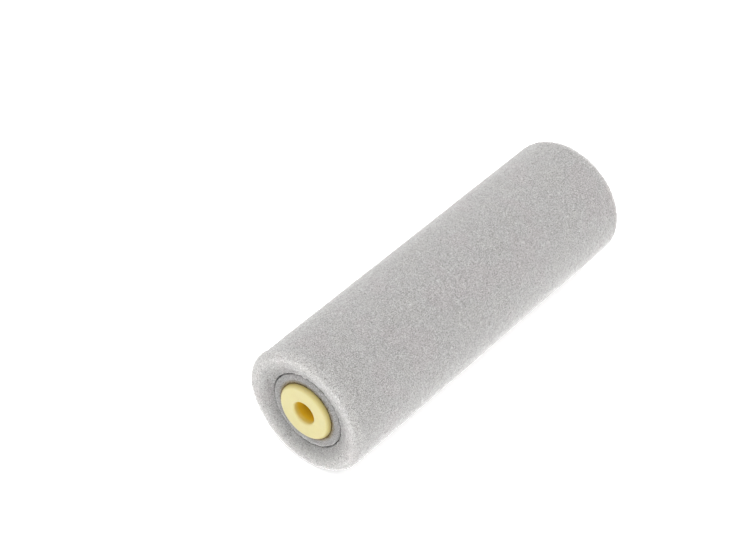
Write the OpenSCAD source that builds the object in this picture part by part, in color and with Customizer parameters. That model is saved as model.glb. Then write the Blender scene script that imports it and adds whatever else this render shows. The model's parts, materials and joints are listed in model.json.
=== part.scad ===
// Mini paint roller refill: a flocked foam sleeve glued on a rigid core tube.
// A ribbed hub is pressed into each end of the tube, and a flanged bush turns in
// each hub. A guide sleeve joins the two bushes, so one bore takes the rod of the
// roller's frame. The roller's axis lies along Y, with its middle at the origin.

/* [Foam] */
// Outer diameter of the foam sleeve
roller_d = 35; // [30:0.5:44]
// Length of the foam sleeve from rim to rim
roller_l = 110; // [80:1:160]
// Radius of the soft rounding along each rim
rim_round = 1.8; // [0.5:0.1:4]
// How far the end face sinks from the rim to the core
dish = 1.4; // [0.5:0.1:2.4]

/* [Core] */
// Outer diameter of the core tube, which the foam is glued to
core_d = 21.6; // [19:0.2:24]
// Wall of the core tube
core_wall = 1.2; // [0.8:0.1:1.6]
// Thickness of the foam ring that covers each end of the core
end_foam_t = 3; // [2:0.5:5]
// Width of the open seam round each end foam ring
seam_gap = 0.5; // [0.2:0.1:0.8]
// Length of each hub along the core tube
hub_l = 12; // [8:0.5:20]
// Number of ribs in each hub
hub_ribs = 6; // [3:1:8]

/* [Bushes] */
// Diameter of the bore for the frame's rod
bore_d = 6.3; // [6.1:0.1:6.5]
// Outer diameter of the bush's barrel
barrel_d = 10; // [9:0.2:11]
// Outer diameter of the bush's flange
flange_d = 15.6; // [14:0.2:17.4]
// Thickness of the bush's flange
flange_t = 1.3; // [1:0.1:1.6]
// Radius of the rounding round the flange's outer edge
flange_round = 1; // [0.3:0.1:1]
// Radius of the rounding round the bore's mouth
mouth_round = 0.6; // [0.2:0.1:1]
// Radial running clearance of the barrel in its hub
running_gap = 0.05; // [0.02:0.01:0.1]
// Gap between other faces that turn past each other
free_gap = 0.3; // [0.2:0.05:0.5]

/* [Hidden] */
$fn = 96;

foam_grey = [0.71, 0.7, 0.69];
bush_yellow = [0.95, 0.9, 0.66];
core_white = [0.85, 0.85, 0.83];

roller_r = roller_d / 2;
half_l = roller_l / 2;
rim_r = roller_r - rim_round;
core_r = core_d / 2;
core_in_r = core_r - core_wall;
bore_r = bore_d / 2;
barrel_r = barrel_d / 2;
flange_r = flange_d / 2;

// Levels along the axis, measured outwards from the roller's middle
face_z = half_l - dish;
flange_back_z = face_z;
flange_top_z = flange_back_z + flange_t;
core_end_z = face_z - end_foam_t;
hub_in_z = core_end_z - hub_l;
barb_l = 1.6;
barb_h = 0.5;
barrel_end_z = hub_in_z - free_gap - barb_l;

hub_web_t = 2;
hub_wall = 1.2;
hub_rib_t = 1.2;
boss_r = barrel_r + 1.6;
sleeve_wall = 1.05;
cut = 1;

// Turns a shape drawn along Z so that it lies along Y
module along_y() {
    rotate([-90, 0, 0])
        children();
}

// Places a piece drawn for the +Z end at the front (-Y) end of the roller
module front_end() {
    along_y()
        mirror([0, 0, 1])
            children();
}

// Places a piece drawn for the +Z end at the rear (+Y) end of the roller
module rear_end() {
    along_y()
        children();
}

// Outline of the foam sleeve: a bar with two rounded rims
module foam_outline() {
    translate([core_r, -half_l])
        square([rim_r - core_r, roller_l]);
    translate([core_r, rim_round - half_l])
        square([roller_r - core_r, roller_l - 2 * rim_round]);
    for (side = [-1, 1])
        translate([rim_r, side * (half_l - rim_round)])
            circle(r = rim_round);
}

// The wedge taken off one end face, from the rim down to the core
module dish_cut() {
    polygon([
        [core_r - cut, half_l + cut],
        [rim_r, half_l + cut],
        [rim_r, half_l],
        [core_r, face_z],
        [core_r - cut, face_z]
    ]);
}

module foam_sleeve() {
    color(foam_grey)
        along_y()
            rotate_extrude()
                difference() {
                    foam_outline();
                    dish_cut();
                    mirror([0, 1])
                        dish_cut();
                }
}

// Foam ring over the end of the core, hollowed a little under the bush's flange
module end_foam() {
    color(foam_grey)
        difference() {
            translate([0, 0, core_end_z])
                cylinder(r = core_r - seam_gap, h = end_foam_t);
            translate([0, 0, face_z - free_gap])
                cylinder(r = flange_r + free_gap, h = free_gap + cut);
            translate([0, 0, core_end_z - cut])
                cylinder(r = barrel_r + free_gap, h = end_foam_t + 2 * cut);
        }
}

module end_foam_front() {
    front_end()
        end_foam();
}

module end_foam_rear() {
    rear_end()
        end_foam();
}

module core_tube() {
    color(core_white)
        along_y()
            difference() {
                cylinder(r = core_r, h = 2 * core_end_z, center = true);
                cylinder(r = core_in_r, h = 2 * core_end_z + 2 * cut, center = true);
            }
}

// Hub: an outer wall in the tube, a web, a bearing boss, and ribs between them
module hub() {
    color(core_white)
        difference() {
            union() {
                translate([0, 0, core_end_z - hub_web_t])
                    cylinder(r = core_in_r, h = hub_web_t);
                translate([0, 0, hub_in_z])
                    difference() {
                        cylinder(r = core_in_r, h = hub_l);
                        translate([0, 0, -cut])
                            cylinder(r = core_in_r - hub_wall, h = hub_l + 2 * cut);
                    }
                translate([0, 0, hub_in_z])
                    cylinder(r = boss_r, h = hub_l);
                for (i = [0 : hub_ribs - 1])
                    rotate([0, 0, i * 360 / hub_ribs])
                        translate([boss_r - 0.4, -hub_rib_t / 2, hub_in_z + 1])
                            cube([core_in_r - boss_r, hub_rib_t, hub_l - hub_web_t]);
            }
            translate([0, 0, hub_in_z - cut])
                cylinder(r = barrel_r + running_gap, h = hub_l + 2 * cut);
        }
}

module hub_front() {
    front_end()
        hub();
}

module hub_rear() {
    rear_end()
        hub();
}

// Half section of a bush: flange, barrel and snap barb, right of the bore
module bush_outline() {
    difference() {
        union() {
            translate([bore_r, flange_back_z])
                square([flange_r - flange_round - bore_r, flange_t]);
            translate([bore_r, flange_back_z])
                square([flange_r - bore_r, flange_t - flange_round]);
            intersection() {
                translate([flange_r - flange_round, flange_top_z - flange_round])
                    circle(r = flange_round);
                translate([bore_r, flange_back_z])
                    square([flange_r - bore_r, flange_t]);
            }
            translate([bore_r, barrel_end_z])
                square([barrel_r - bore_r, flange_top_z - flange_t / 2 - barrel_end_z]);
            polygon([
                [barrel_r - 0.2, barrel_end_z],
                [barrel_r, barrel_end_z],
                [barrel_r + barb_h, barrel_end_z + barb_l - 0.4],
                [barrel_r + barb_h, barrel_end_z + barb_l],
                [barrel_r - 0.2, barrel_end_z + barb_l]
            ]);
        }
        // What the rounded mouth leaves open round the bore
        difference() {
            translate([bore_r - cut, flange_top_z - mouth_round])
                square([mouth_round + cut, mouth_round + cut]);
            translate([bore_r + mouth_round, flange_top_z - mouth_round])
                circle(r = mouth_round);
        }
    }
}

module bush() {
    color(bush_yellow)
        rotate_extrude()
            bush_outline();
}

module bush_front() {
    front_end()
        bush();
}

module bush_rear() {
    rear_end()
        bush();
}

// Guide sleeve that joins the two bushes round the rod
module rod_sleeve() {
    color(bush_yellow)
        along_y()
            difference() {
                cylinder(r = bore_r + sleeve_wall, h = 2 * barrel_end_z, center = true);
                cylinder(r = bore_r, h = 2 * barrel_end_z + 2 * cut, center = true);
            }
}

foam_sleeve();
end_foam_front();
end_foam_rear();
core_tube();
hub_front();
hub_rear();
bush_front();
bush_rear();
rod_sleeve();
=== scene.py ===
"""A mini paint roller refill of flocked foam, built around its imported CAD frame."""

import json
import math

import bpy
import numpy as np
from mathutils import Matrix, Vector, noise


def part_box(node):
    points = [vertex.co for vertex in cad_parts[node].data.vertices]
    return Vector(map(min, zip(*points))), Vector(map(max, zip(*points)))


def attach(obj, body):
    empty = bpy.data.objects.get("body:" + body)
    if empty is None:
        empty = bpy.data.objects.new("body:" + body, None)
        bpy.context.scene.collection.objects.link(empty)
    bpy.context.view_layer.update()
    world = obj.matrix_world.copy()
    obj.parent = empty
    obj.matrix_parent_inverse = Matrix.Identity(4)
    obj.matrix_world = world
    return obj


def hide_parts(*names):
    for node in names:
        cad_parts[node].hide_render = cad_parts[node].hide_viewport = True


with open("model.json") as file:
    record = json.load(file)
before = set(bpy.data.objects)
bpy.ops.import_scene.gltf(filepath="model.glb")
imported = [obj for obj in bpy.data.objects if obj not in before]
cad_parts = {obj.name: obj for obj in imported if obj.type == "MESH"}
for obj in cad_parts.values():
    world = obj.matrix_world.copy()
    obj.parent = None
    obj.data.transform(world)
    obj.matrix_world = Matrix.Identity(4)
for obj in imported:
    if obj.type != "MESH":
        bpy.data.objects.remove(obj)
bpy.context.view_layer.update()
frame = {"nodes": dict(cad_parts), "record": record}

MM = 0.001

# ---------------------------------------------------------------- places, from the frame

SLEEVE_LOW, SLEEVE_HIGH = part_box("foam_sleeve")
HALF_LENGTH = SLEEVE_HIGH.y
ROLLER_R = SLEEVE_HIGH.x
CORE_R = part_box("core_tube")[1].x
CORE_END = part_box("core_tube")[1].y
FACE_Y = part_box("end_foam_rear")[1].y
FLANGE_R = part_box("bush_rear")[1].x
FLANGE_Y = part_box("bush_rear")[1].y
BORE_R = frame["record"]["mounts"][0]["dims"]["r_mm"] * MM
FLOOR_Z = SLEEVE_LOW.z

# ---------------------------------------------------------------- sizes of the foam skins

# The sleeve's mesh starts this far inside the CAD shape, and the tips of its relief pass it
INSET_SIDE = 0.08 * MM
INSET_END = 0.1 * MM
RIM_ROUND = 1.8 * MM

# The front rim is cut a little unevenly: fuller than its rounding at RIM_TURN, round the
# axis from +X towards +Z, and lower than it on the far side from there. It acts within about
# RIM_REACH of a point that lies RIM_CREST in from both the side and the end
RIM_FULL = 0.7 * MM
RIM_LOW = 0.22 * MM
RIM_TURN = math.radians(150)
RIM_CREST = 0.6 * MM
RIM_REACH = 1.3 * MM

# Points round each foam piece, and the spacing of the points along its outline
AROUND = 280
SLEEVE_STEP = 0.375 * MM
RING_STEP = 0.24 * MM

# Relief of the flock: fine spikes, small clumps, a slow swell, and the sideways sway of the tips.
# SPIKE_POWER makes tall spikes rare, and a spike of SPIKE_LEVEL adds no height
SPIKE_HEIGHT = 0.26 * MM
SPIKE_POWER = 2.2
SPIKE_LEVEL = 0.30
CLUMP_SIZE, CLUMP_HEIGHT = 0.9 * MM, 0.02 * MM
SWELL_SIZE, SWELL_HEIGHT = 13 * MM, 0.06 * MM
SWAY, SWAY_LIMIT = 0.045 * MM, 0.08 * MM

# The open seam between the sleeve and each end ring: it is widest at SEAM_TURNS, and about half
# as wide between them. RING_GROWTH is the ring's growth there in the middle of the seam, and at
# the ring's own edge SEAM_REACH leaves a little over half of it
SEAM_R = CORE_R - 0.25 * MM
SEAM_GAP = 0.46 * MM
RING_GROWTH = 0.43 * MM
SEAM_TURNS = (math.radians(150), math.radians(315))
SEAM_REACH = 0.3 * MM
RAGGED_SIZE, RAGGED_HEIGHT, RAGGED_GRAIN = 1.3 * MM, 0.05 * MM, 0.025 * MM

RNG = np.random.default_rng(41)

# ---------------------------------------------------------------- sizes of the studio

CAMERA_AZIMUTH = math.radians(38.70)
CAMERA_ELEVATION = math.radians(41.47)
CAMERA_ROLL = math.radians(1.254)
CAMERA_DISTANCE = 529.9 * MM
CAMERA_AIM = Vector((-19.43 * MM, -4.05 * MM, 0))
CAMERA_LENS = 97.36
SENSOR_WIDTH = 36
FLOOR_HALF = 1.6


# ---------------------------------------------------------------- mesh helpers

def new_object(name, verts, faces, smooth=True):
    """A mesh object from points and faces, in the row frame."""
    mesh = bpy.data.meshes.new(name)
    mesh.from_pydata([tuple(v) for v in verts], [], faces)
    mesh.validate()
    mesh.polygons.foreach_set("use_smooth", [smooth] * len(mesh.polygons))
    mesh.update()
    piece = bpy.data.objects.new(name, mesh)
    bpy.context.scene.collection.objects.link(piece)
    return piece


def arc(cx, cy, radius, start, end, step):
    """Points (r, y) along an arc, angles in degrees."""
    count = max(2, round(abs(math.radians(end - start)) * radius / step))
    angles = [math.radians(start + (end - start) * i / count) for i in range(count + 1)]
    return [(cx + radius * math.cos(a), cy + radius * math.sin(a)) for a in angles]


def resampled(outline, step):
    """The same closed outline with points about step apart."""
    points = []
    for (r0, y0), (r1, y1) in zip(outline, outline[1:] + outline[:1]):
        count = max(1, round(math.hypot(r1 - r0, y1 - y0) / step))
        points += [(r0 + (r1 - r0) * i / count, y0 + (y1 - y0) * i / count) for i in range(count)]
    return points


def revolved(outline, around):
    """Vertices and quads of a closed outline (r, y) turned about the roller's axis."""
    rings = len(outline)
    r = np.repeat([p[0] for p in outline], around)
    y = np.repeat([p[1] for p in outline], around)
    t = np.tile(np.arange(around) * 2 * math.pi / around, rings)
    verts = np.column_stack([r * np.cos(t), y, r * np.sin(t)])
    i, j = np.meshgrid(np.arange(rings), np.arange(around), indexing="ij")
    here, up = i * around, ((i + 1) % rings) * around
    beside = (j + 1) % around
    faces = np.stack([here + j, here + beside, up + beside, up + j], axis=-1)
    return verts, faces.reshape(-1, 4)


def outline_normals(outline):
    """Outward normals (r, y) of a closed outline that runs with its solid on the left."""
    p = np.array(outline)
    ahead = np.roll(p, -1, axis=0) - p
    behind = p - np.roll(p, 1, axis=0)
    ahead /= np.linalg.norm(ahead, axis=1)[:, None]
    behind /= np.linalg.norm(behind, axis=1)[:, None]
    along = ahead + behind
    along /= np.maximum(np.linalg.norm(along, axis=1), 1e-9)[:, None]
    return np.column_stack([along[:, 1], -along[:, 0]])


def smooth_noise(points, cell, seed):
    """Smooth noise from -1 to 1 at each point, with bumps about cell apart."""
    offset = Vector((seed * 17.3, seed * 5.1, seed * 9.7))
    return np.array([noise.noise(Vector(p) / cell + offset) for p in points])


# ---------------------------------------------------------------- foam

def flock_relief(verts):
    """Height of the flock at each point: fine spikes, small clumps and a slow swell."""
    spikes = RNG.random(len(verts)) ** SPIKE_POWER
    clumps = smooth_noise(verts, CLUMP_SIZE, 3)
    swell = smooth_noise(verts, SWELL_SIZE, 8)
    return SPIKE_HEIGHT * (spikes - SPIKE_LEVEL) + CLUMP_HEIGHT * clumps + SWELL_HEIGHT * swell


def rim_fullness(r, y, turn):
    """Extra height along the front rim, which is cut a little unevenly."""
    from_crest = np.hypot(r - (ROLLER_R - RIM_CREST), y + (HALF_LENGTH - RIM_CREST))
    fuller = RIM_FULL * np.cos(turn - RIM_TURN).clip(0) ** 2 - RIM_LOW
    return fuller * np.exp(-((from_crest / RIM_REACH) ** 2))


def seam_edge(r, turn, verts, seam_side):
    """How far each point moves along r: raggedly on both sides of the seam, and on the ring's
    side also into the seam, except round SEAM_TURNS."""
    near_seam = np.exp(-(((r - SEAM_R) / SEAM_REACH) ** 2))
    ragged = RAGGED_HEIGHT * smooth_noise(verts, RAGGED_SIZE, 5)
    ragged += RNG.normal(0, RAGGED_GRAIN, len(verts))
    gape = np.max([np.cos(turn - middle).clip(0) for middle in SEAM_TURNS], axis=0) ** 5
    if seam_side > 0:
        ragged += RING_GROWTH * (1 - gape)
    return ragged * near_seam * seam_side


def foam_piece(name, points, skin, seam_side):
    """A closed foam body: an outline with close points, turned about the axis and flocked.
    skin(r, y) is the share of the relief at a point, 0 out of sight. seam_side is the way
    along r from the piece into the seam: 1 for an end ring, -1 for the sleeve."""
    verts, faces = revolved(points, AROUND)
    turn = np.tile(np.arange(AROUND) * 2 * math.pi / AROUND, len(points))
    out = np.column_stack([np.cos(turn), np.zeros(len(turn)), np.sin(turn)])
    r, y = np.repeat(np.array(points), AROUND, axis=0).T
    nr, ny = np.repeat(outline_normals(points), AROUND, axis=0).T
    n = np.column_stack([nr * np.cos(turn), ny, nr * np.sin(turn)])
    share = np.repeat([skin(*p) for p in points], AROUND)

    height = flock_relief(verts) + rim_fullness(r, y, turn)
    sway = RNG.normal(0, SWAY, (len(verts), 3)).clip(-SWAY_LIMIT, SWAY_LIMIT)
    sway -= n * (sway * n).sum(1)[:, None]
    edge = seam_edge(r, turn, verts, seam_side)
    shift = n * height[:, None] + sway + out * edge[:, None]
    verts = verts + shift * share[:, None]
    return new_object(name, verts, faces.tolist())


def sleeve_outline():
    """Half section of the foam sleeve, with rounded rims and sunk end faces."""
    r, h, k = ROLLER_R - INSET_SIDE, HALF_LENGTH - INSET_END, RIM_ROUND
    lip = SEAM_R + SEAM_GAP / 2
    sink = h - FACE_Y
    front = [
        (CORE_R, -FACE_Y + 2.0 * MM),
        (lip + 0.03 * MM, -FACE_Y + 0.8 * MM),
        (lip, -FACE_Y + 0.3 * MM),
        (lip + 0.12 * MM, -FACE_Y + 0.02 * MM),
        (lip + 0.6 * MM, -FACE_Y - 0.06 * sink),
        (lip + 1.6 * MM, -FACE_Y - 0.26 * sink),
        (lip + 2.6 * MM, -FACE_Y - 0.62 * sink),
        (r - k - 0.35 * MM, -FACE_Y - 0.93 * sink),
    ]
    front += arc(r - k, -h + k, k, -90, 0, 0.3 * MM)
    back = [(pr, -py) for pr, py in reversed(front)]
    return front + back


def make_sleeve():
    def skin(r, y):
        return 0.0 if r < SEAM_R + 0.4 * MM and abs(y) < FACE_Y - 0.9 * MM else 1.0

    points = resampled(sleeve_outline(), SLEEVE_STEP)
    # The bore is out of sight behind the end foam, so it needs few rings
    hidden = [skin(r, y) == 0 and abs(y) < CORE_END for r, y in points]
    points = [p for i, p in enumerate(points) if not hidden[i] or i % 24 == 0]
    return foam_piece("foam_sleeve_skin", points, skin, -1)


def make_end_foam(name, side):
    """Foam ring over the core's end: a thick washer with soft edges, side -1 front, 1 rear."""
    outer, inner = SEAM_R - SEAM_GAP / 2, FLANGE_R - 2.4 * MM
    top, low = FACE_Y - 0.02 * MM, CORE_END + 0.2 * MM
    round_r = 0.22 * MM
    outline = [(inner, low), (outer - 0.3 * MM, low), (outer, top - 1.2 * MM)]
    outline += arc(outer - round_r, top - round_r, round_r, 0, 90, 0.12 * MM)
    outline += [(FLANGE_R + 0.5 * MM, top), (FLANGE_R + 0.1 * MM, top - 0.16 * MM)]
    outline += [(inner, top - 0.34 * MM)]
    if side < 0:
        outline = [(r, -y) for r, y in reversed(outline)]

    def skin(r, y):
        return 1.0 if abs(y) > FACE_Y - 1.3 * MM and r > FLANGE_R + 0.05 * MM else 0.0

    return foam_piece(name, resampled(outline, RING_STEP), skin, 1)


# ---------------------------------------------------------------- materials

class Nodes:
    """Short names for building one material's node tree."""

    def __init__(self, name):
        self.material = bpy.data.materials.new(name)
        self.material.use_nodes = True
        self.tree = self.material.node_tree
        self.shader = self.tree.nodes["Principled BSDF"]
        self.place = self.add("ShaderNodeTexCoord").outputs["Object"]

    def add(self, kind, **sockets):
        node = self.tree.nodes.new(kind)
        for key, value in sockets.items():
            self.put(node.inputs[key.replace("_", " ")], value)
        return node

    def put(self, socket, value):
        if isinstance(value, bpy.types.NodeSocket):
            self.tree.links.new(value, socket)
        else:
            socket.default_value = value

    def set(self, **sockets):
        """Constant values on the shader's own sockets."""
        for key, value in sockets.items():
            self.shader.inputs[key.replace("_", " ")].default_value = value

    def noise(self, cell, detail=2.0, rough=0.5):
        """Noise with features about cell metres apart, from 0 to 1."""
        shape = {"Scale": 1 / cell, "Detail": detail, "Roughness": rough}
        return self.add("ShaderNodeTexNoise", Vector=self.place, **shape).outputs["Fac"]

    def math(self, operation, a, b=0.0):
        node = self.add("ShaderNodeMath")
        node.operation = operation
        self.put(node.inputs[0], a)
        self.put(node.inputs[1], b)
        return node.outputs[0]

    def length(self, a, b):
        squares = self.math("ADD", self.math("MULTIPLY", a, a), self.math("MULTIPLY", b, b))
        return self.math("SQRT", squares)

    def axis_place(self):
        """Distance from the roller's axis, and from its middle along the axis."""
        split = self.add("ShaderNodeSeparateXYZ", Vector=self.place)
        x, y, z = (split.outputs[i] for i in range(3))
        return self.length(x, z), self.math("ABSOLUTE", y)

    def ramp(self, factor, *stops):
        node = self.add("ShaderNodeValToRGB", Fac=factor)
        node.color_ramp.interpolation = "EASE"
        elements = node.color_ramp.elements
        while len(elements) < len(stops):
            elements.new(0.5)
        for element, (position, colour) in zip(elements, stops):
            element.position = position
            element.color = (*colour, 1.0)
        return node.outputs["Color"]

    def mix(self, factor, a, b, blend="MIX"):
        node = self.add("ShaderNodeMix")
        node.data_type = "RGBA"
        node.blend_type = blend
        self.put(node.inputs[0], factor)
        self.put(node.inputs[6], a)
        self.put(node.inputs[7], b)
        return node.outputs[2]

    def between(self, value, start, end, low=0.0, high=1.0):
        """low where value is start, high where it is end, held outside them."""
        node = self.add("ShaderNodeMapRange", Value=value)
        for key, number in (("From Min", start), ("From Max", end), ("To Min", low), ("To Max", high)):
            self.put(node.inputs[key], number)
        return node.outputs["Result"]

    def bump(self, height, distance, strength=1.0, below=None):
        node = self.add("ShaderNodeBump", Height=height, Strength=strength, Distance=distance)
        if below is not None:
            self.put(node.inputs["Normal"], below)
        return node.outputs["Normal"]


def grey(v, warm=0.0):
    return (v * (1 + warm), v, v * (1 - warm))


def foam_material(name, level):
    """Fine flocked foam: pores and flock tips, soft mottling, a painted highlight along the rims, and
    painted shade by the seam and the flange.
    """
    m = Nodes(name)

    # Grain: dark pores between pale flock tips
    pores = m.noise(0.26 * MM, 2.5, 0.6)
    flock = m.noise(0.17 * MM, 1.0, 0.5)
    base = m.ramp(
        pores,
        (0.3, grey(level * 0.44, 0.02)),
        (0.44, grey(level * 0.88, 0.016)),
        (0.56, grey(level * 1.1, 0.012)),
        (0.72, grey(level * 1.5, 0.006)),
    )
    tips = m.ramp(flock, (0.3, grey(0.72)), (0.5, grey(1.0)), (0.7, grey(1.28)))
    colour = m.mix(0.9, base, tips, "MULTIPLY")

    # Faint uneven tint and mottling
    clumps = m.noise(2.4 * MM, 2.0, 0.5)
    patches = m.noise(9 * MM, 2.0, 0.5)
    tint = m.ramp(patches, (0.38, (1.0, 0.98, 0.985)), (0.5, grey(0.99)), (0.62, (0.99, 0.987, 0.98)))
    colour = m.mix(1.0, colour, tint, "MULTIPLY")
    mottle = m.ramp(clumps, (0.3, grey(0.98)), (0.7, grey(1.02)))
    colour = m.mix(1.0, colour, mottle, "MULTIPLY")

    # Painted highlight: a pale band along the crest of each rim, standing in for the light the flock
    # scatters at its edge, which fades over the face and the side
    r, y = m.axis_place()
    off_crest = m.math("SUBTRACT", r, ROLLER_R - 2.2 * MM)
    below = m.math("SUBTRACT", HALF_LENGTH - 0.3 * MM, y)
    from_crest = m.length(off_crest, below)
    face_side = m.between(from_crest, 0.4 * MM, 3.6 * MM, 0.0, 1.0)
    outer_side = m.between(from_crest, 0.2 * MM, 3.3 * MM, 0.0, 1.0)
    side = m.between(off_crest, -0.2 * MM, 0.6 * MM)
    fade = m.math("ADD", face_side, m.math("MULTIPLY", side, m.math("SUBTRACT", outer_side, face_side)))
    rim_highlight = m.ramp(fade, (0.0, grey(1.36)), (0.35, grey(1.17)), (1.0, grey(1.0)))
    colour = m.mix(1.0, colour, rim_highlight, "MULTIPLY")

    # Painted shade: the face is darker towards the seam. Beside the flange it is painted brown, as the
    # flange's shadow and its yellow reflection
    from_seam = m.between(r, CORE_R - 0.4 * MM, CORE_R + 2.2 * MM)
    seam_shade = m.ramp(from_seam, (0.0, grey(0.82)), (1.0, grey(1.0)))
    colour = m.mix(1.0, colour, seam_shade, "MULTIPLY")
    # Painted shadow and reflection: brown where the flange shades the foam and throws its yellow light
    # on it
    flange_shadow_tint = m.between(r, FLANGE_R + 0.2 * MM, FLANGE_R + 1.2 * MM, 1.0, 0.0)
    colour = m.mix(flange_shadow_tint, colour, (0.58, 0.4, 0.12, 1), "MULTIPLY")

    m.put(m.shader.inputs["Base Color"], colour)
    m.put(m.shader.inputs["Roughness"], m.between(pores, 0.3, 0.7, 0.85, 1.0))
    m.put(m.shader.inputs["Normal"], m.bump(flock, 0.08 * MM, 0.5, m.bump(pores, 0.15 * MM, 0.6)))
    m.set(
        Specular_IOR_Level=0.12,
        Sheen_Weight=0.25,
        Sheen_Roughness=0.38,
        Subsurface_Weight=1.0,
        Subsurface_Radius=(1.0, 0.97, 0.94),
        Subsurface_Scale=5 * MM,
    )
    return m.material


def bush_material():
    """Pale yellow moulded plastic: glossy, faintly translucent, with painted shade along the flange's
    rim and painted amber bounce light deep in the bore.
    """
    m = Nodes("bush_plastic")
    flow = m.noise(5.5 * MM, 3.0, 0.55)
    grain = m.noise(0.35 * MM, 2.0, 0.6)
    scuff = m.noise(1.4 * MM, 4.0, 0.65)
    colour = m.ramp(
        flow,
        (0.3, (0.535, 0.48, 0.22)),
        (0.55, (0.56, 0.505, 0.24)),
        (0.75, (0.575, 0.525, 0.265)),
    )
    colour = m.mix(m.between(grain, 0.3, 0.7, 0.0, 0.12), colour, (0.62, 0.59, 0.37, 1))
    r, y = m.axis_place()
    # Painted shade: a deeper yellow band on the flange's rounded outer rim, where its side wall turns
    # from the light
    edge = m.between(r, FLANGE_R - 0.75 * MM, FLANGE_R - 0.05 * MM, 0.0, 0.6)
    colour = m.mix(edge, colour, (0.43, 0.33, 0.085, 1))
    # Painted shade and reflection: deeper in the bore the colour turns amber, as light bounced round
    # inside the yellow hole makes it look
    depth = m.between(y, FLANGE_Y - 0.05 * MM, FLANGE_Y - 1.9 * MM)
    bore_bounce_tint = m.math("MULTIPLY", m.between(r, BORE_R + 0.55 * MM, BORE_R + 0.05 * MM), depth)
    colour = m.mix(bore_bounce_tint, colour, (0.8, 0.54, 0.03, 1))
    m.put(m.shader.inputs["Base Color"], colour)
    m.put(m.shader.inputs["Roughness"], m.between(scuff, 0.3, 0.7, 0.3, 0.5))
    m.put(m.shader.inputs["Normal"], m.bump(scuff, 0.03 * MM, 0.3, m.bump(flow, 0.1 * MM, 0.25)))
    m.set(
        IOR=1.49,
        Specular_IOR_Level=0.4,
        Subsurface_Weight=0.25,
        Subsurface_Radius=(1.0, 0.7, 0.2),
        Subsurface_Scale=0.9 * MM,
    )
    return m.material


def core_material():
    """Off-white moulded plastic of the hidden core."""
    m = Nodes("core_plastic")
    flow = m.noise(6 * MM, 3.0, 0.5)
    grain = m.noise(0.4 * MM, 2.0, 0.6)
    m.put(m.shader.inputs["Base Color"], m.ramp(flow, (0.3, grey(0.58, 0.01)), (0.7, grey(0.68, 0.01))))
    m.put(m.shader.inputs["Roughness"], m.between(grain, 0.3, 0.7, 0.45, 0.65))
    m.put(m.shader.inputs["Normal"], m.bump(grain, 0.03 * MM, 0.4))
    return m.material


def floor_material():
    """Plain white studio surface, lit from below like a light table."""
    m = Nodes("floor_paper")
    tooth = m.noise(1.2 * MM, 2.0, 0.5)
    m.put(m.shader.inputs["Base Color"], m.ramp(tooth, (0.3, grey(0.93)), (0.7, grey(0.95))))
    m.set(Roughness=0.9, Specular_IOR_Level=0.1, Emission_Color=(1, 1, 1, 1), Emission_Strength=0.4)
    return m.material


def dress(piece, material):
    piece.data.materials.clear()
    piece.data.materials.append(material)


# ---------------------------------------------------------------- studio

def make_camera():
    """The camera of the product shot: a long lens, high on the front right, rolled a little."""
    level = math.cos(CAMERA_ELEVATION)
    back = Vector((
        math.sin(CAMERA_AZIMUTH) * level,
        -math.cos(CAMERA_AZIMUTH) * level,
        math.sin(CAMERA_ELEVATION),
    ))
    camera = bpy.data.objects.new("camera", bpy.data.cameras.new("camera"))
    camera.data.sensor_width = SENSOR_WIDTH
    camera.data.lens = CAMERA_LENS
    camera.data.clip_start = 0.01
    camera.data.clip_end = 10
    camera.location = CAMERA_AIM + back * CAMERA_DISTANCE
    camera.rotation_mode = "QUATERNION"
    facing = (-back).to_track_quat("-Z", "Y")
    camera.rotation_quaternion = facing @ Matrix.Rotation(CAMERA_ROLL, 3, "Z").to_quaternion()
    bpy.context.scene.collection.objects.link(camera)
    bpy.context.scene.camera = camera


def make_floor():
    corners = ((-1, -1), (1, -1), (1, 1), (-1, 1))
    verts = [(x * FLOOR_HALF, y * FLOOR_HALF, FLOOR_Z) for x, y in corners]
    floor = new_object("studio_floor", verts, [(0, 1, 2, 3)], smooth=False)
    dress(floor, floor_material())


def make_light(name, direction, distance, size, power):
    """A soft square light that faces the roller."""
    light = bpy.data.objects.new(name, bpy.data.lights.new(name, "AREA"))
    light.data.size = size
    light.data.energy = power
    way = Vector(direction).normalized()
    light.location = way * distance
    light.rotation_mode = "QUATERNION"
    light.rotation_quaternion = (-way).to_track_quat("-Z", "Y")
    bpy.context.scene.collection.objects.link(light)


def make_studio():
    make_floor()
    make_light("softbox_top", direction=(0.25, -0.1, 1.0), distance=0.9, size=0.9, power=7.0)
    world = bpy.data.worlds.new("studio")
    world.use_nodes = True
    world.node_tree.nodes["Background"].inputs["Color"].default_value = (1, 1, 1, 1)
    world.node_tree.nodes["Background"].inputs["Strength"].default_value = 0.9
    bpy.context.scene.world = world
    bpy.context.scene.view_settings.view_transform = "Standard"


# ---------------------------------------------------------------- assembly

def add_foam(piece, node, material):
    """Puts a foam skin in the place of its plain CAD solid, on the turning body."""
    dress(piece, material)
    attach(piece, "roller")
    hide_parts(node)


def dress_nodes(nodes, material):
    """Gives CAD nodes, which stay as they are and detailed material."""
    for node in nodes:
        dress(frame["nodes"][node], material)


make_camera()
make_studio()

foam = foam_material("foam_flocked", 0.33)
plastic = bush_material()
core = core_material()

add_foam(make_sleeve(), "foam_sleeve", foam)
add_foam(make_end_foam("end_foam_front_skin", -1), "end_foam_front", foam)
add_foam(make_end_foam("end_foam_rear_skin", 1), "end_foam_rear", foam)

dress_nodes(("bush_front", "bush_rear", "rod_sleeve"), plastic)
dress_nodes(("core_tube", "hub_front", "hub_rear"), core)
